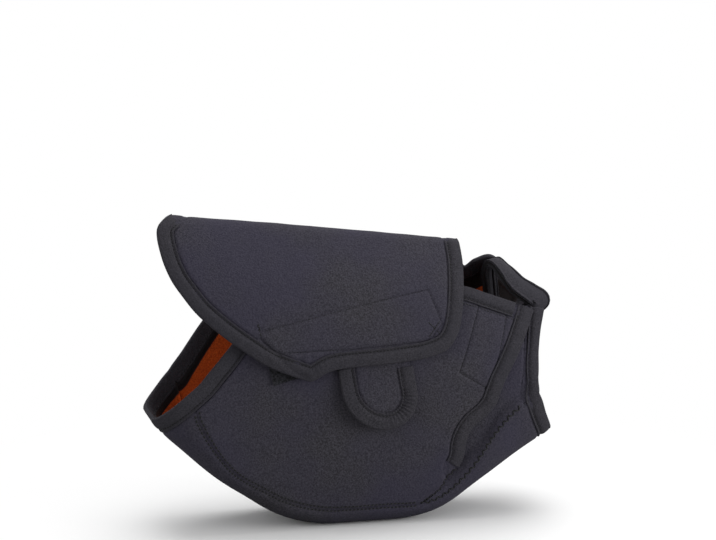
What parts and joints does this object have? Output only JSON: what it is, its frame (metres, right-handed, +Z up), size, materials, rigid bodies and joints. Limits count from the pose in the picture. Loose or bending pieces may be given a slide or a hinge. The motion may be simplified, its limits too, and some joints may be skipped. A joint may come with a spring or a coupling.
{
  "type": "e-bike motor cover",
  "caption": "Soft foam cloth bag that covers the motor of an e-bike, with a fold-over flap, pull tab, bound edges and a slit that closes round the crank",
  "frame": {"origin": "middle of the flat spot under the gusset, on the plane the bag rests on", "axes": "+X runs along the bag from the front opening to the rear opening, +Y from the side with the pull tab to the far side, +Z up"},
  "size_m": [0.3478, 0.1131, 0.2653],
  "materials": {
    "jersey_cloth": "matt charcoal jersey on foam",
    "edge_tape": "matt folded knit tape",
    "hook_and_loop": "black fuzzy hook and loop"
  },
  "bodies": {
    "root": {"near_panel": "jersey_cloth", "rear_side_panel": "jersey_cloth", "far_panel": "jersey_cloth", "bottom_gusset": "jersey_cloth", "flap_binding": "edge_tape", "front_opening_binding": "edge_tape", "rear_opening_binding": "edge_tape", "top_edge_binding": "edge_tape", "crank_slit_binding": "edge_tape", "crank_hole_binding": "edge_tape", "rear_strap": "jersey_cloth", "strap_front_binding": "edge_tape", "strap_rear_binding": "edge_tape", "pull_tab": "jersey_cloth", "pull_tab_binding": "edge_tape", "flap_hook_patch": "hook_and_loop", "body_loop_patch": "hook_and_loop", "slit_hook_patch": "hook_and_loop", "slit_loop_patch": "hook_and_loop"}
  },
  "joints": []
}
